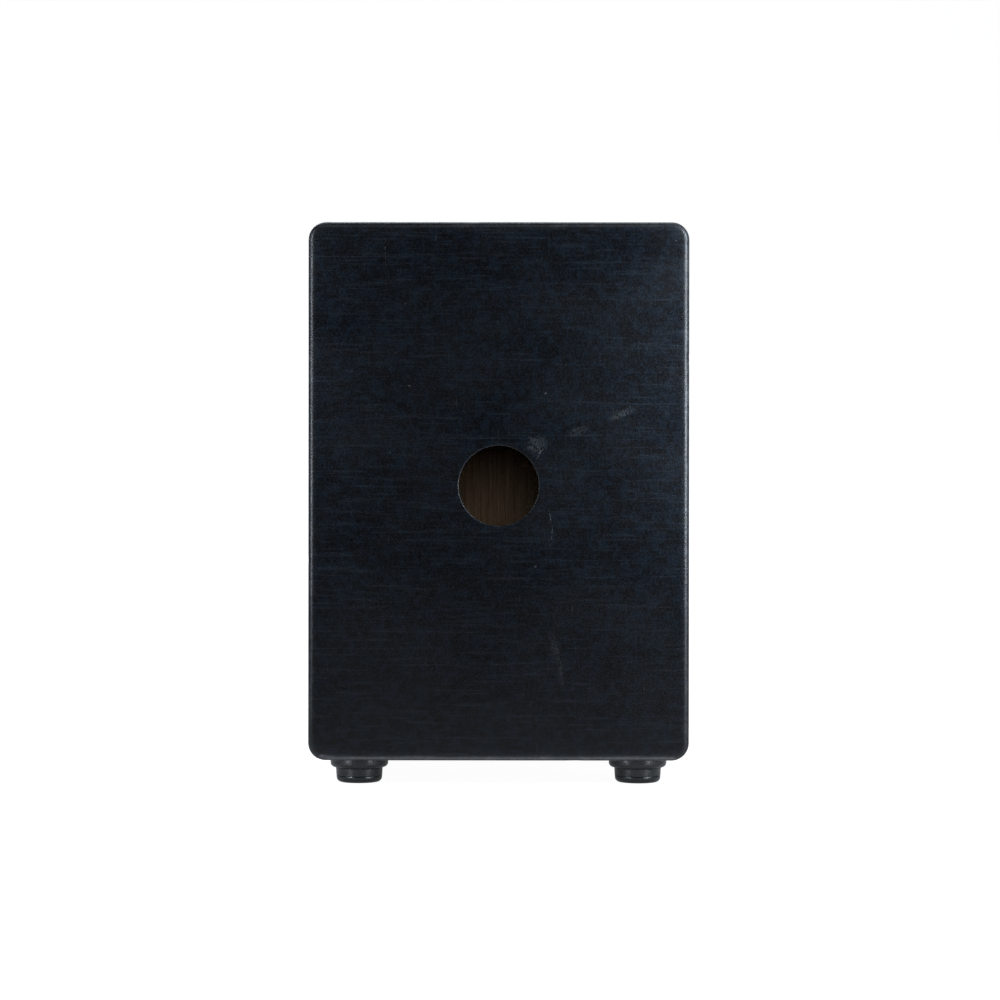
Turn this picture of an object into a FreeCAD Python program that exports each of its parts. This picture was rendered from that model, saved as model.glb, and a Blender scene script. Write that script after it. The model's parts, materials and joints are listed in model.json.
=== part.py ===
import FreeCAD, Part
import math
import os
import Sketcher

# A cajon: a wooden box drum that the player sits on. Its frame stands with +Z up, the struck
# front plate faces -Y and the rear panel with the sound hole faces +Y. The origin is on the
# floor under the middle of the box. All sizes are in millimetres.

DIMENSIONS = {
    # the box
    "width": 302,
    "depth": 300,
    "body_height": 427,
    "board": 12,
    "rear_board": 6,
    "front_board": 3,
    "corner_radius": 14,
    "rear_roundover": 5,
    "front_roundover": 1,
    "hole_radius": 31.7,
    "hole_raise": 4.3,
    "hole_roundover": 1,
    "block_leg": 16,
    "block_setback": 7,
    # the feet
    "foot_height": 20,
    "foot_spread": 112,
    "foot_reach": 113,
    "flange_radius": 23.2,
    "flange_rim": 4.4,
    "flange_round": 3.6,
    "stem_radius": 18.8,
    "stem_end_radius": 18.3,
    "stem_height": 12,
    "stem_round": 4,
    "foot_recess_radius": 6.5,
    "foot_recess_depth": 9,
    "washer_radius": 6,
    "washer_thickness": 1,
    "fit_gap": 0.05,
    # wood screws
    "foot_screw_radius": 2.25,
    "foot_screw_length": 21,
    "foot_screw_head_radius": 4.2,
    "foot_screw_head_height": 3,
    "small_screw_radius": 1.75,
    "small_screw_length": 10,
    "small_screw_head_radius": 3.5,
    "small_screw_head_height": 2.4,
    "plate_screw_radius": 1.5,
    "plate_screw_length": 16,
    "plate_screw_head_radius": 2.9,
    "screw_tip": 2,
    "recess_width": 0.9,
    "plate_screw_spread": 100,
    "plate_screw_climb": 160,
    # the strings and what holds them
    "snare_spread": 62,
    "string_half_gap": 12,
    "string_setback": 2,
    "string_radius": 0.45,
    "ball_radius": 1.5,
    "ball_length": 3,
    "rail_length": 244,
    "rail_section": 20,
    "rail_setback": 4,
    "anchor_width": 40,
    "anchor_reach": 20,
    "anchor_thickness": 1.5,
    "slot_width": 1.3,
    "slot_depth": 1.65,
    "edge_setback": 1,
    "anchor_screw_half_gap": 12,
    "anchor_screw_setback": 13,
    # the tensioners
    "bracket_width": 40,
    "steel": 2,
    "upright_setback": 19,
    "upright_height": 48,
    "shelf_height": 10.5,
    "shelf_reach": 16,
    "bracket_foot": 20,
    "bracket_screw_setback": 12,
    "bracket_screw_half_gap": 12,
    "tension_setback": 10,
    "tension_radius": 2.5,
    "tension_length": 35,
    "tension_head_radius": 4.25,
    "tension_head_height": 5,
    "key_size": 4,
    "key_depth": 2.5,
    "end_float": 0.1,
    "shelf_hole_radius": 2.8,
    "clip_radius": 5,
    "clip_thickness": 0.8,
    "carriage_width": 34,
    "carriage_height": 8,
    "carriage_rise": 22,
    "carriage_gap": 0.3,
    "access_radius": 4,
}

# Places that several sub-parts share, as expressions over the sheet.
HALF_WIDTH = "Size.width / 2"
HALF_HEIGHT = "Size.body_height / 2"
INNER_X = "(Size.width / 2 - Size.board)"
INNER_Z = "(Size.body_height / 2 - Size.board)"
BOX_CENTRE_Z = "Size.foot_height + Size.body_height / 2"
FRAME_FRONT = "(Size.front_board - Size.depth / 2)"
FRAME_DEPTH = "(Size.depth - Size.front_board - Size.rear_board)"
FLOOR_INSIDE = "(Size.foot_height + Size.board)"
RAIL_UNDERSIDE = "(Size.foot_height + Size.body_height - Size.board - Size.rail_section)"
CARRIAGE_UNDERSIDE = "(Size.foot_height + Size.board + Size.carriage_rise)"
STRING_Y = "Size.front_board - Size.depth / 2 + Size.string_setback"
TENSION_Y = "Size.front_board - Size.depth / 2 + Size.tension_setback"
SHELF_TOP = "(Size.foot_height + Size.board + Size.shelf_height + Size.steel)"
SHELF_UNDERSIDE = "(Size.foot_height + Size.board + Size.shelf_height)"

SIDES = {"left": -1, "right": 1}

doc = FreeCAD.newDocument("Cajon")
sheet = doc.addObject("Spreadsheet::Sheet", "Size")
for row, (alias, size) in enumerate(DIMENSIONS.items(), start=1):
    sheet.set("A%d" % row, alias)
    sheet.set("B%d" % row, str(size))
    sheet.setAlias("B%d" % row, alias)
doc.recompute()

sub_parts = []


def measure(expression):
    """The value of an expression over the sheet, as a plain number."""
    return float(sheet.evalExpression(expression))


def put(item, x="0", y="0", z="0"):
    """Tie an object's place to the sheet."""
    item.setExpression("Placement.Base.x", x)
    item.setExpression("Placement.Base.y", y)
    item.setExpression("Placement.Base.z", z)


def new_body(name, x="0", y="0", z="0", kept=True):
    body = doc.addObject("PartDesign::Body", name)
    body.Label = name
    put(body, x, y, z)
    if kept:
        sub_parts.append(body)
    return body


def turn_over(body):
    """Turn a body half a turn about its own front-to-back axis."""
    body.Placement.Rotation = FreeCAD.Rotation(FreeCAD.Vector(0, 1, 0), 180)


def new_sketch(body, plane, lift="0"):
    """A sketch on one of the body's origin planes, moved along the plane's normal by lift."""
    sketch = body.newObject("Sketcher::SketchObject", body.Name + "_sketch")
    support = [face for face in body.Origin.OriginFeatures if face.Role == plane]
    sketch.AttachmentSupport = [(support[0], "")]
    sketch.MapMode = "FlatFace"
    sketch.setExpression("AttachmentOffset.Base.z", lift)
    return sketch


def arc_between(start, end, radius):
    """The anticlockwise arc of this radius, less than half a turn, from start to end."""
    chord = end - start
    rise = math.sqrt(radius ** 2 - (chord.Length / 2) ** 2)
    inwards = FreeCAD.Vector(-chord.y, chord.x, 0).normalize()
    centre = (start + end) * 0.5 + inwards * rise
    first = math.atan2(start.y - centre.y, start.x - centre.x)
    last = math.atan2(end.y - centre.y, end.x - centre.x)
    circle = Part.Circle(centre, FreeCAD.Vector(0, 0, 1), radius)
    return Part.ArcOfCircle(circle, first, last)


def pin_point(sketch, edge, corner, x, y):
    """Hold one end or the centre of a sketch edge at a place taken from the sheet."""
    for kind, place in (("DistanceX", x), ("DistanceY", y)):
        rule = Sketcher.Constraint(kind, -1, 1, edge, corner, measure(place))
        sketch.setExpression("Constraints[%d]" % sketch.addConstraint(rule), place)


def outline(sketch, corners):
    """A closed outline. A corner with a third value, a radius, starts an arc, and an
    outline with arcs runs anticlockwise."""
    first_edge = sketch.GeometryCount
    points = [FreeCAD.Vector(measure(corner[0]), measure(corner[1]), 0) for corner in corners]
    count = len(corners)
    for index, corner in enumerate(corners):
        following = points[(index + 1) % count]
        if len(corner) > 2:
            sketch.addGeometry(arc_between(points[index], following, measure(corner[2])), False)
        else:
            sketch.addGeometry(Part.LineSegment(points[index], following), False)
    for index, corner in enumerate(corners):
        edge = first_edge + index
        next_edge = first_edge + (index + 1) % count
        sketch.addConstraint(Sketcher.Constraint("Coincident", edge, 2, next_edge, 1))
        pin_point(sketch, edge, 1, corner[0], corner[1])
        if len(corner) > 2:
            rule = Sketcher.Constraint("Radius", edge, measure(corner[2]))
            sketch.setExpression("Constraints[%d]" % sketch.addConstraint(rule), corner[2])


def rectangle(sketch, low_x, low_y, high_x, high_y):
    outline(sketch, [(low_x, low_y), (high_x, low_y), (high_x, high_y), (low_x, high_y)])


def circle(sketch, x, y, radius):
    centre = FreeCAD.Vector(measure(x), measure(y), 0)
    shape = Part.Circle(centre, FreeCAD.Vector(0, 0, 1), measure(radius))
    edge = sketch.addGeometry(shape, False)
    pin_point(sketch, edge, 3, x, y)
    rule = Sketcher.Constraint("Radius", edge, measure(radius))
    sketch.setExpression("Constraints[%d]" % sketch.addConstraint(rule), radius)


def pad(body, sketch, length, backwards=False, centred=False):
    feature = body.newObject("PartDesign::Pad", body.Name + "_pad")
    feature.Profile = sketch
    feature.setExpression("Length", length)
    feature.Reversed = backwards
    feature.Midplane = centred
    doc.recompute()
    return feature


def revolve(body, sketch):
    feature = body.newObject("PartDesign::Revolution", body.Name + "_turned")
    feature.Profile = sketch
    feature.ReferenceAxis = (sketch, ["V_Axis"])
    feature.Angle = 360
    doc.recompute()
    return feature


def pocket(body, sketch, depth=None, backwards=False):
    """Cut the sketch into the body: right through both ways, or to a depth."""
    before = body.Shape.Volume
    feature = body.newObject("PartDesign::Pocket", body.Name + "_pocket")
    feature.Profile = sketch
    feature.Reversed = backwards
    if depth is None:
        feature.Type = "ThroughAll"
        feature.Midplane = True
    else:
        feature.setExpression("Length", depth)
    doc.recompute()
    if body.Shape.Volume >= before:
        raise ValueError("the pocket cuts nothing: " + feature.Name)
    return feature


def edges_where(feature, wanted):
    """Names of the feature's edges that a test picks out."""
    edges = enumerate(feature.Shape.Edges, start=1)
    return ["Edge%d" % number for number, edge in edges if wanted(edge)]


def dress(body, kind, feature, wanted, size_name, size):
    """Fillet or chamfer the edges that a test picks out."""
    dressed = body.newObject("PartDesign::" + kind, body.Name + "_" + kind.lower())
    dressed.Base = (feature, edges_where(feature, wanted))
    dressed.setExpression(size_name, size)
    doc.recompute()
    return dressed


def fillet(body, feature, wanted, radius):
    return dress(body, "Fillet", feature, wanted, "Radius", radius)


def chamfer(body, feature, wanted, size):
    return dress(body, "Chamfer", feature, wanted, "Size", size)


def lies_on(edge, axis, place):
    """True for an edge that lies wholly in the plane where this axis has this value."""
    box = edge.BoundBox
    low = getattr(box, axis + "Min")
    high = getattr(box, axis + "Max")
    return abs(low - place) < 1e-4 and abs(high - place) < 1e-4


def is_round(edge, radius):
    return isinstance(edge.Curve, Part.Circle) and abs(edge.Curve.Radius - radius) < 1e-4


def scaled(sign, expression):
    return "%d * (%s)" % (sign, expression)


# ---- the box -------------------------------------------------------------------------

def plate_screw_places():
    """Where the front plate is screwed to the frame, as pairs of expressions measured from
    the middle of the box: five along the top and the bottom, three up each side."""
    row_z = "Size.body_height / 2 - Size.board / 2"
    column_x = "Size.width / 2 - Size.board / 2"
    row = [(scaled(step, "Size.plate_screw_spread / 2"), row_z) for step in range(-2, 3)]
    column = [(column_x, scaled(step, "Size.plate_screw_climb")) for step in range(-1, 2)]
    return {"row": row, "column": column}


def pilot_holes(body, places):
    """Blind holes for the front plate's screws in a board's front edge."""
    sketch = new_sketch(body, "XZ_Plane")
    for x, z in places:
        circle(sketch, x, z, "Size.plate_screw_radius")
    pocket(body, sketch, "Size.plate_screw_length - Size.front_board")


def mitre_point(half_size):
    """Where the mitre leaves the rounded outer corner, along one direction."""
    return "%s - Size.corner_radius * (1 - sqrt(0.5))" % half_size


def make_side_panel(side):
    """An upright board with mitred ends, drawn on the right and turned over for the left."""
    body = new_body(side + "_side_panel", y=FRAME_FRONT, z=BOX_CENTRE_Z)
    if side == "left":
        turn_over(body)
    mitre_x = mitre_point(HALF_WIDTH)
    mitre_z = mitre_point(HALF_HEIGHT)
    straight = HALF_HEIGHT + " - Size.corner_radius"
    sketch = new_sketch(body, "XZ_Plane")
    outline(sketch, [
        (INNER_X, "-" + INNER_Z),
        (mitre_x, scaled(-1, mitre_z), "Size.corner_radius"),
        (HALF_WIDTH, scaled(-1, straight)),
        (HALF_WIDTH, straight, "Size.corner_radius"),
        (mitre_x, mitre_z),
        (INNER_X, INNER_Z),
    ])
    pad(body, sketch, FRAME_DEPTH, backwards=True)
    pilot_holes(body, plate_screw_places()["column"])


def make_level_panel(name):
    """A level board with mitred ends, drawn as the top one."""
    body = new_body(name, y=FRAME_FRONT, z=BOX_CENTRE_Z)
    mitre_x = mitre_point(HALF_WIDTH)
    mitre_z = mitre_point(HALF_HEIGHT)
    straight = HALF_WIDTH + " - Size.corner_radius"
    sketch = new_sketch(body, "XZ_Plane")
    outline(sketch, [
        ("-" + INNER_X, INNER_Z),
        (INNER_X, INNER_Z),
        (mitre_x, mitre_z, "Size.corner_radius"),
        (straight, HALF_HEIGHT),
        (scaled(-1, straight), HALF_HEIGHT, "Size.corner_radius"),
        (scaled(-1, mitre_x), mitre_z),
    ])
    pad(body, sketch, FRAME_DEPTH, backwards=True)
    pilot_holes(body, plate_screw_places()["row"])
    return body


def drill_bottom_panel(body):
    """The turned-over board's holes: its own +Z face is the underside of the box."""
    forward = "-(" + FRAME_FRONT + ")"
    underside = new_sketch(body, "XY_Plane", HALF_HEIGHT)
    for side in (-1, 1):
        for end in (-1, 1):
            depth_place = forward + " + " + scaled(end, "Size.foot_reach")
            circle(underside, scaled(side, "Size.foot_spread"), depth_place,
                   "Size.foot_screw_radius")
    bite = "Size.foot_screw_length + Size.foot_recess_depth - Size.washer_thickness"
    pocket(body, underside, bite + " - Size.foot_height")

    access = new_sketch(body, "XY_Plane", HALF_HEIGHT)
    for side in (-1, 1):
        circle(access, scaled(side, "Size.snare_spread"), "Size.tension_setback",
               "Size.access_radius")
    pocket(body, access)

    inside = new_sketch(body, "XY_Plane", INNER_Z)
    for side in (-1, 1):
        for end in (-1, 1):
            across = "%s + %s" % (scaled(side, "Size.snare_spread"),
                                  scaled(end, "Size.bracket_screw_half_gap"))
            circle(inside, across, "Size.upright_setback + Size.steel + Size.bracket_screw_setback",
                   "Size.small_screw_radius")
    pocket(body, inside, "Size.small_screw_length - Size.steel", backwards=True)


def rounded_board(body):
    """Sketch of the whole face of the box with its four rounded corners."""
    sketch = new_sketch(body, "XZ_Plane")
    straight_x = HALF_WIDTH + " - Size.corner_radius"
    straight_z = HALF_HEIGHT + " - Size.corner_radius"
    outline(sketch, [
        (scaled(-1, straight_x), scaled(-1, HALF_HEIGHT)),
        (straight_x, scaled(-1, HALF_HEIGHT), "Size.corner_radius"),
        (HALF_WIDTH, scaled(-1, straight_z)),
        (HALF_WIDTH, straight_z, "Size.corner_radius"),
        (straight_x, HALF_HEIGHT),
        (scaled(-1, straight_x), HALF_HEIGHT, "Size.corner_radius"),
        (scaled(-1, HALF_WIDTH), straight_z),
        (scaled(-1, HALF_WIDTH), scaled(-1, straight_z), "Size.corner_radius"),
    ])
    return sketch


def make_rear_panel():
    """The back of the box, with the round sound hole a little above its middle."""
    body = new_body("rear_panel", y="Size.depth / 2 - Size.rear_board", z=BOX_CENTRE_Z)
    board = pad(body, rounded_board(body), "Size.rear_board", backwards=True)
    rear = measure("Size.rear_board")
    fillet(body, board, lambda edge: lies_on(edge, "Y", rear), "Size.rear_roundover")
    sketch = new_sketch(body, "XZ_Plane")
    circle(sketch, "0", "Size.hole_raise", "Size.hole_radius")
    drilled = pocket(body, sketch)
    radius = measure("Size.hole_radius")
    fillet(body, drilled, lambda edge: lies_on(edge, "Y", rear) and is_round(edge, radius),
           "Size.hole_roundover")


def make_front_plate():
    """The thin struck plate, held by countersunk screws all round its edge."""
    body = new_body("front_plate", y=FRAME_FRONT, z=BOX_CENTRE_Z)
    board = pad(body, rounded_board(body), "Size.front_board")
    front = -measure("Size.front_board")
    fillet(body, board, lambda edge: lies_on(edge, "Y", front), "Size.front_roundover")
    places = plate_screw_places()
    sketch = new_sketch(body, "XZ_Plane")
    for x, z in places["row"]:
        circle(sketch, x, z, "Size.plate_screw_radius")
        circle(sketch, x, scaled(-1, z), "Size.plate_screw_radius")
    for x, z in places["column"]:
        circle(sketch, x, z, "Size.plate_screw_radius")
        circle(sketch, scaled(-1, x), z, "Size.plate_screw_radius")
    drilled = pocket(body, sketch)
    radius = measure("Size.plate_screw_radius")
    chamfer(body, drilled, lambda edge: lies_on(edge, "Y", front) and is_round(edge, radius),
            "Size.plate_screw_head_radius - Size.plate_screw_radius")


def make_corner_block(level, side):
    """A three-cornered batten glued into one long inner corner of the box."""
    up = 1 if level == "top" else -1
    across = SIDES[side]
    body = new_body("corner_block_%s_%s" % (level, side), z=BOX_CENTRE_Z,
                    y=FRAME_FRONT + " + Size.block_setback")
    sketch = new_sketch(body, "XZ_Plane")
    outline(sketch, [
        (scaled(across, INNER_X), scaled(up, INNER_Z)),
        (scaled(across, INNER_X + " - Size.block_leg"), scaled(up, INNER_Z)),
        (scaled(across, INNER_X), scaled(up, INNER_Z + " - Size.block_leg")),
    ])
    pad(body, sketch, FRAME_DEPTH + " - Size.block_setback", backwards=True)


# ---- the feet ------------------------------------------------------------------------

def make_foot(name, x, y):
    """A stepped round foot: a wide flange under the box and a narrower stem with a soft
    lower edge. Its screw and washer sit up inside the stem."""
    body = new_body(name, x=x, y=y)
    ledge = "Size.flange_radius - Size.flange_round"
    flange_low = "Size.foot_height - Size.flange_rim"
    sketch = new_sketch(body, "XZ_Plane")
    outline(sketch, [
        ("Size.foot_recess_radius", "0"),
        ("Size.stem_end_radius", "0"),
        ("Size.stem_radius", "Size.stem_height"),
        (ledge, "Size.stem_height", "Size.flange_round"),
        ("Size.flange_radius", flange_low),
        ("Size.flange_radius", "Size.foot_height"),
        ("Size.foot_screw_radius + Size.fit_gap", "Size.foot_height"),
        ("Size.foot_screw_radius + Size.fit_gap", "Size.foot_recess_depth"),
        ("Size.foot_recess_radius", "Size.foot_recess_depth"),
    ])
    turned = revolve(body, sketch)
    rim = measure("Size.stem_end_radius")
    fillet(body, turned, lambda edge: is_round(edge, rim), "Size.stem_round")


# ---- screws, washers and clips -------------------------------------------------------

def cut_cross_recess(body, lift, reach, depth):
    """A cross-shaped driver recess in the head, cut towards the shank."""
    narrow = "Size.recess_width / 2"
    sketch = new_sketch(body, "XY_Plane", lift)
    quarter = [(reach, narrow), (narrow, narrow), (narrow, reach)]
    corners = []
    for turn_x, turn_y in ((1, 1), (-1, 1), (-1, -1), (1, -1)):
        arm = [(scaled(turn_x, x), scaled(turn_y, y)) for x, y in quarter]
        if turn_x * turn_y < 0:
            arm.reverse()
        corners.extend(arm)
    outline(sketch, corners)
    pocket(body, sketch, depth, backwards=True)


def make_pan_screw(name, size):
    """A wood screw with a rounded head: its seat is at its origin and its shank along +Z."""
    body = new_body(name, kept=False)
    shank = size + "_radius"
    head = size + "_head_radius"
    drop = size + "_head_height"
    length = size + "_length"
    sketch = new_sketch(body, "XZ_Plane")
    outline(sketch, [
        ("0", "-" + drop),
        (head, "-" + drop),
        (head, "0"),
        (shank, "0"),
        (shank, length + " - Size.screw_tip"),
        ("0", length),
    ])
    turned = revolve(body, sketch)
    low = -measure(drop)
    fillet(body, turned, lambda edge: lies_on(edge, "Z", low), drop + " * 0.7")
    cut_cross_recess(body, "-" + drop, head + " * 0.55", drop + " * 0.6")
    return body


def make_plate_screw():
    """A countersunk wood screw: the flat of its head is at its origin, its shank along +Z."""
    body = new_body("plate_screw", kept=False)
    head = "Size.plate_screw_head_radius"
    shank = "Size.plate_screw_radius"
    sketch = new_sketch(body, "XZ_Plane")
    outline(sketch, [
        ("0", "0"),
        (head, "0"),
        (shank, head + " - " + shank),
        (shank, "Size.plate_screw_length - Size.screw_tip"),
        ("0", "Size.plate_screw_length"),
    ])
    revolve(body, sketch)
    cut_cross_recess(body, "0", head + " * 0.6", head + " * 0.35")
    return body


def make_ring(name, x, y, z, inner, outer, thickness, kept=True):
    body = new_body(name, x, y, z, kept)
    sketch = new_sketch(body, "XY_Plane")
    circle(sketch, "0", "0", outer)
    circle(sketch, "0", "0", inner)
    pad(body, sketch, thickness)
    return body


def make_group(name, pattern, places, rotation):
    """One sub-part of several identical separate pieces, each a copy of the pattern."""
    copies = []
    for place in places:
        copy = pattern.Shape.copy()
        spot = FreeCAD.Vector(*[measure(value) for value in place])
        copy.Placement = FreeCAD.Placement(spot, rotation)
        copies.append(copy)
    group = doc.addObject("Part::Feature", name)
    group.Label = name
    group.Shape = Part.makeCompound(copies)
    group.Placement = FreeCAD.Placement()
    sub_parts.append(group)


def foot_places(z):
    return [(scaled(side, "Size.foot_spread"), scaled(end, "Size.foot_reach"), z)
            for side in (-1, 1) for end in (-1, 1)]


def snare_places(half_gap, y, z):
    return [("%s + %s" % (scaled(side, "Size.snare_spread"), scaled(end, half_gap)), y, z)
            for side in (-1, 1) for end in (-1, 1)]


def front_screw_places():
    """The front plate's screw places in the part's own frame."""
    front = "-Size.depth / 2"
    places = plate_screw_places()
    spots = []
    for x, z in places["row"]:
        spots += [(x, front, BOX_CENTRE_Z + " + " + z),
                  (x, front, BOX_CENTRE_Z + " - (" + z + ")")]
    for x, z in places["column"]:
        spots += [(x, front, BOX_CENTRE_Z + " + " + z),
                  (scaled(-1, x), front, BOX_CENTRE_Z + " + " + z)]
    return spots


def make_fasteners():
    upwards = FreeCAD.Rotation()
    downwards = FreeCAD.Rotation(FreeCAD.Vector(1, 0, 0), 180)
    rearwards = FreeCAD.Rotation(FreeCAD.Vector(1, 0, 0), -90)
    foot_screw = make_pan_screw("foot_screw", "Size.foot_screw")
    small_screw = make_pan_screw("small_screw", "Size.small_screw")
    plate_screw = make_plate_screw()
    washer = make_ring("washer", "0", "0", "0", "Size.foot_screw_radius + Size.fit_gap",
                       "Size.washer_radius", "Size.washer_thickness", kept=False)

    seat = "Size.foot_recess_depth - Size.washer_thickness"
    make_group("foot_screws", foot_screw, foot_places(seat), upwards)
    make_group("foot_washers", washer, foot_places(seat), upwards)
    make_group("front_plate_screws", plate_screw, front_screw_places(), rearwards)
    anchor_y = FRAME_FRONT + " + Size.anchor_screw_setback"
    anchor_z = RAIL_UNDERSIDE + " - Size.anchor_thickness"
    make_group("anchor_screws", small_screw,
               snare_places("Size.anchor_screw_half_gap", anchor_y, anchor_z), upwards)
    bracket_y = (FRAME_FRONT + " + Size.upright_setback + Size.steel"
                 " + Size.bracket_screw_setback")
    make_group("bracket_screws", small_screw,
               snare_places("Size.bracket_screw_half_gap", bracket_y,
                            FLOOR_INSIDE + " + Size.steel"), downwards)


# ---- the strings and their anchors ---------------------------------------------------

def make_string_rail():
    """A wooden rail glued under the top of the box, just clear of the front plate."""
    body = new_body("string_rail", y=FRAME_FRONT + " + Size.rail_setback", z=RAIL_UNDERSIDE)
    sketch = new_sketch(body, "XZ_Plane")
    rectangle(sketch, "-Size.rail_length / 2", "0", "Size.rail_length / 2", "Size.rail_section")
    pad(body, sketch, "Size.rail_section", backwards=True)
    pilots = new_sketch(body, "XY_Plane")
    for x, y, z in snare_places("Size.anchor_screw_half_gap",
                                "Size.anchor_screw_setback - Size.rail_setback", "0"):
        circle(pilots, x, y, "Size.small_screw_radius")
    pocket(body, pilots, "Size.small_screw_length - Size.anchor_thickness", backwards=True)


def cut_string_slots(body):
    """Two slots, open to the front, that the strings' ball ends hook into."""
    sketch = new_sketch(body, "XY_Plane")
    for end in (-1, 1):
        middle = scaled(end, "Size.string_half_gap")
        rectangle(sketch, middle + " - Size.slot_width / 2", "-Size.edge_setback",
                  middle + " + Size.slot_width / 2", "Size.slot_depth")
    pocket(body, sketch)


def make_anchor_plate(side):
    """A flat steel plate under the rail that holds the upper ends of two strings."""
    body = new_body("anchor_plate_" + side, x=scaled(SIDES[side], "Size.snare_spread"),
                    y=FRAME_FRONT + " + Size.edge_setback",
                    z=RAIL_UNDERSIDE + " - Size.anchor_thickness")
    sketch = new_sketch(body, "XY_Plane")
    rectangle(sketch, "-Size.anchor_width / 2", "0", "Size.anchor_width / 2",
              "Size.anchor_reach")
    for end in (-1, 1):
        circle(sketch, scaled(end, "Size.anchor_screw_half_gap"),
               "Size.anchor_screw_setback - Size.edge_setback", "Size.small_screw_radius")
    pad(body, sketch, "Size.anchor_thickness")
    cut_string_slots(body)


def make_string(side, place, across):
    """A bronze string with a barrel-shaped ball end at each end."""
    body = new_body("snare_string_%s_%s" % (side, place), x=across, y=STRING_Y,
                    z=CARRIAGE_UNDERSIDE)
    span = RAIL_UNDERSIDE + " - " + CARRIAGE_UNDERSIDE
    sketch = new_sketch(body, "XZ_Plane")
    outline(sketch, [
        ("0", "-Size.ball_length"),
        ("Size.ball_radius", "-Size.ball_length"),
        ("Size.ball_radius", "0"),
        ("Size.string_radius", "0"),
        ("Size.string_radius", span),
        ("Size.ball_radius", span),
        ("Size.ball_radius", span + " + Size.ball_length"),
        ("0", span + " + Size.ball_length"),
    ])
    revolve(body, sketch)


def make_strings():
    for side, sign in SIDES.items():
        for place, step in (("outer", sign), ("inner", -sign)):
            across = "%s + %s" % (scaled(sign, "Size.snare_spread"),
                                  scaled(step, "Size.string_half_gap"))
            make_string(side, place, across)


# ---- the tensioners ------------------------------------------------------------------

def make_tension_bracket(side):
    """Folded steel on the floor of the box: a foot, an upright that guides the carriage,
    and a shelf that takes the pull of the tension screw."""
    body = new_body("tension_bracket_" + side, x=scaled(SIDES[side], "Size.snare_spread"),
                    y=FRAME_FRONT, z=FLOOR_INSIDE)
    upright = "Size.upright_setback"
    back = upright + " + Size.steel"
    sketch = new_sketch(body, "YZ_Plane")
    outline(sketch, [
        (upright, "0"),
        (back + " + Size.bracket_foot", "0"),
        (back + " + Size.bracket_foot", "Size.steel"),
        (back, "Size.steel"),
        (back, "Size.upright_height"),
        (upright, "Size.upright_height"),
        (upright, "Size.shelf_height + Size.steel"),
        (upright + " - Size.shelf_reach", "Size.shelf_height + Size.steel"),
        (upright + " - Size.shelf_reach", "Size.shelf_height"),
        (upright, "Size.shelf_height"),
    ])
    pad(body, sketch, "Size.bracket_width", centred=True)
    holes = new_sketch(body, "XY_Plane")
    circle(holes, "0", "Size.tension_setback", "Size.shelf_hole_radius")
    for end in (-1, 1):
        circle(holes, scaled(end, "Size.bracket_screw_half_gap"),
               back + " + Size.bracket_screw_setback", "Size.small_screw_radius")
    pocket(body, holes)


def make_tension_screw(side):
    """A socket-head screw, head down, turned with a key from under the box."""
    body = new_body("tension_screw_" + side, x=scaled(SIDES[side], "Size.snare_spread"),
                    y=TENSION_Y, z=SHELF_UNDERSIDE + " - Size.end_float")
    sketch = new_sketch(body, "XZ_Plane")
    outline(sketch, [
        ("0", "-Size.tension_head_height"),
        ("Size.tension_head_radius", "-Size.tension_head_height"),
        ("Size.tension_head_radius", "0"),
        ("Size.tension_radius", "0"),
        ("Size.tension_radius", "Size.tension_length - Size.tension_radius / 4"),
        ("Size.tension_radius * 3 / 4", "Size.tension_length"),
        ("0", "Size.tension_length"),
    ])
    revolve(body, sketch)
    socket = new_sketch(body, "XY_Plane", "-Size.tension_head_height")
    corner = "Size.key_size / sqrt(3)"
    outline(socket, [("%s * cos(%d)" % (corner, angle), "%s * sin(%d)" % (corner, angle))
                     for angle in range(0, 360, 60)])
    pocket(body, socket, "Size.key_depth", backwards=True)


def make_carriage(side):
    """A steel bar threaded on the tension screw, which pulls the strings' lower ends."""
    body = new_body("carriage_" + side, x=scaled(SIDES[side], "Size.snare_spread"),
                    y=FRAME_FRONT + " + Size.edge_setback", z=CARRIAGE_UNDERSIDE)
    sketch = new_sketch(body, "XY_Plane")
    rectangle(sketch, "-Size.carriage_width / 2", "0", "Size.carriage_width / 2",
              "Size.upright_setback - Size.edge_setback - Size.carriage_gap")
    circle(sketch, "0", "Size.tension_setback - Size.edge_setback",
           "Size.tension_radius + Size.fit_gap")
    pad(body, sketch, "Size.carriage_height")
    cut_string_slots(body)


def make_tensioner(side):
    make_tension_bracket(side)
    make_tension_screw(side)
    make_ring("retaining_clip_" + side, scaled(SIDES[side], "Size.snare_spread"), TENSION_Y,
              SHELF_TOP + " + Size.end_float", "Size.tension_radius", "Size.clip_radius",
              "Size.clip_thickness")
    make_carriage(side)


# ---- the whole cajon -----------------------------------------------------------------

def make_cajon():
    for side in SIDES:
        make_side_panel(side)
    make_level_panel("top_panel")
    bottom = make_level_panel("bottom_panel")
    drill_bottom_panel(bottom)
    turn_over(bottom)
    make_rear_panel()
    make_front_plate()
    for level in ("top", "bottom"):
        for side in SIDES:
            make_corner_block(level, side)
    for end, reach in (("front", "-Size.foot_reach"), ("rear", "Size.foot_reach")):
        for side, sign in SIDES.items():
            make_foot("foot_%s_%s" % (end, side), scaled(sign, "Size.foot_spread"), reach)
    make_string_rail()
    for side in SIDES:
        make_anchor_plate(side)
        make_tensioner(side)
    make_strings()
    make_fasteners()
    doc.recompute()


def check_document():
    """Stop before writing anything if an object failed or a sub-part's shape is bad."""
    for item in doc.Objects:
        if "Invalid" in item.State or "Error" in item.State:
            raise ValueError("failed: " + item.Name)
    for item in sub_parts:
        if item.Shape.isNull() or not item.Shape.isValid():
            raise ValueError("bad shape: " + item.Label)


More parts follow.
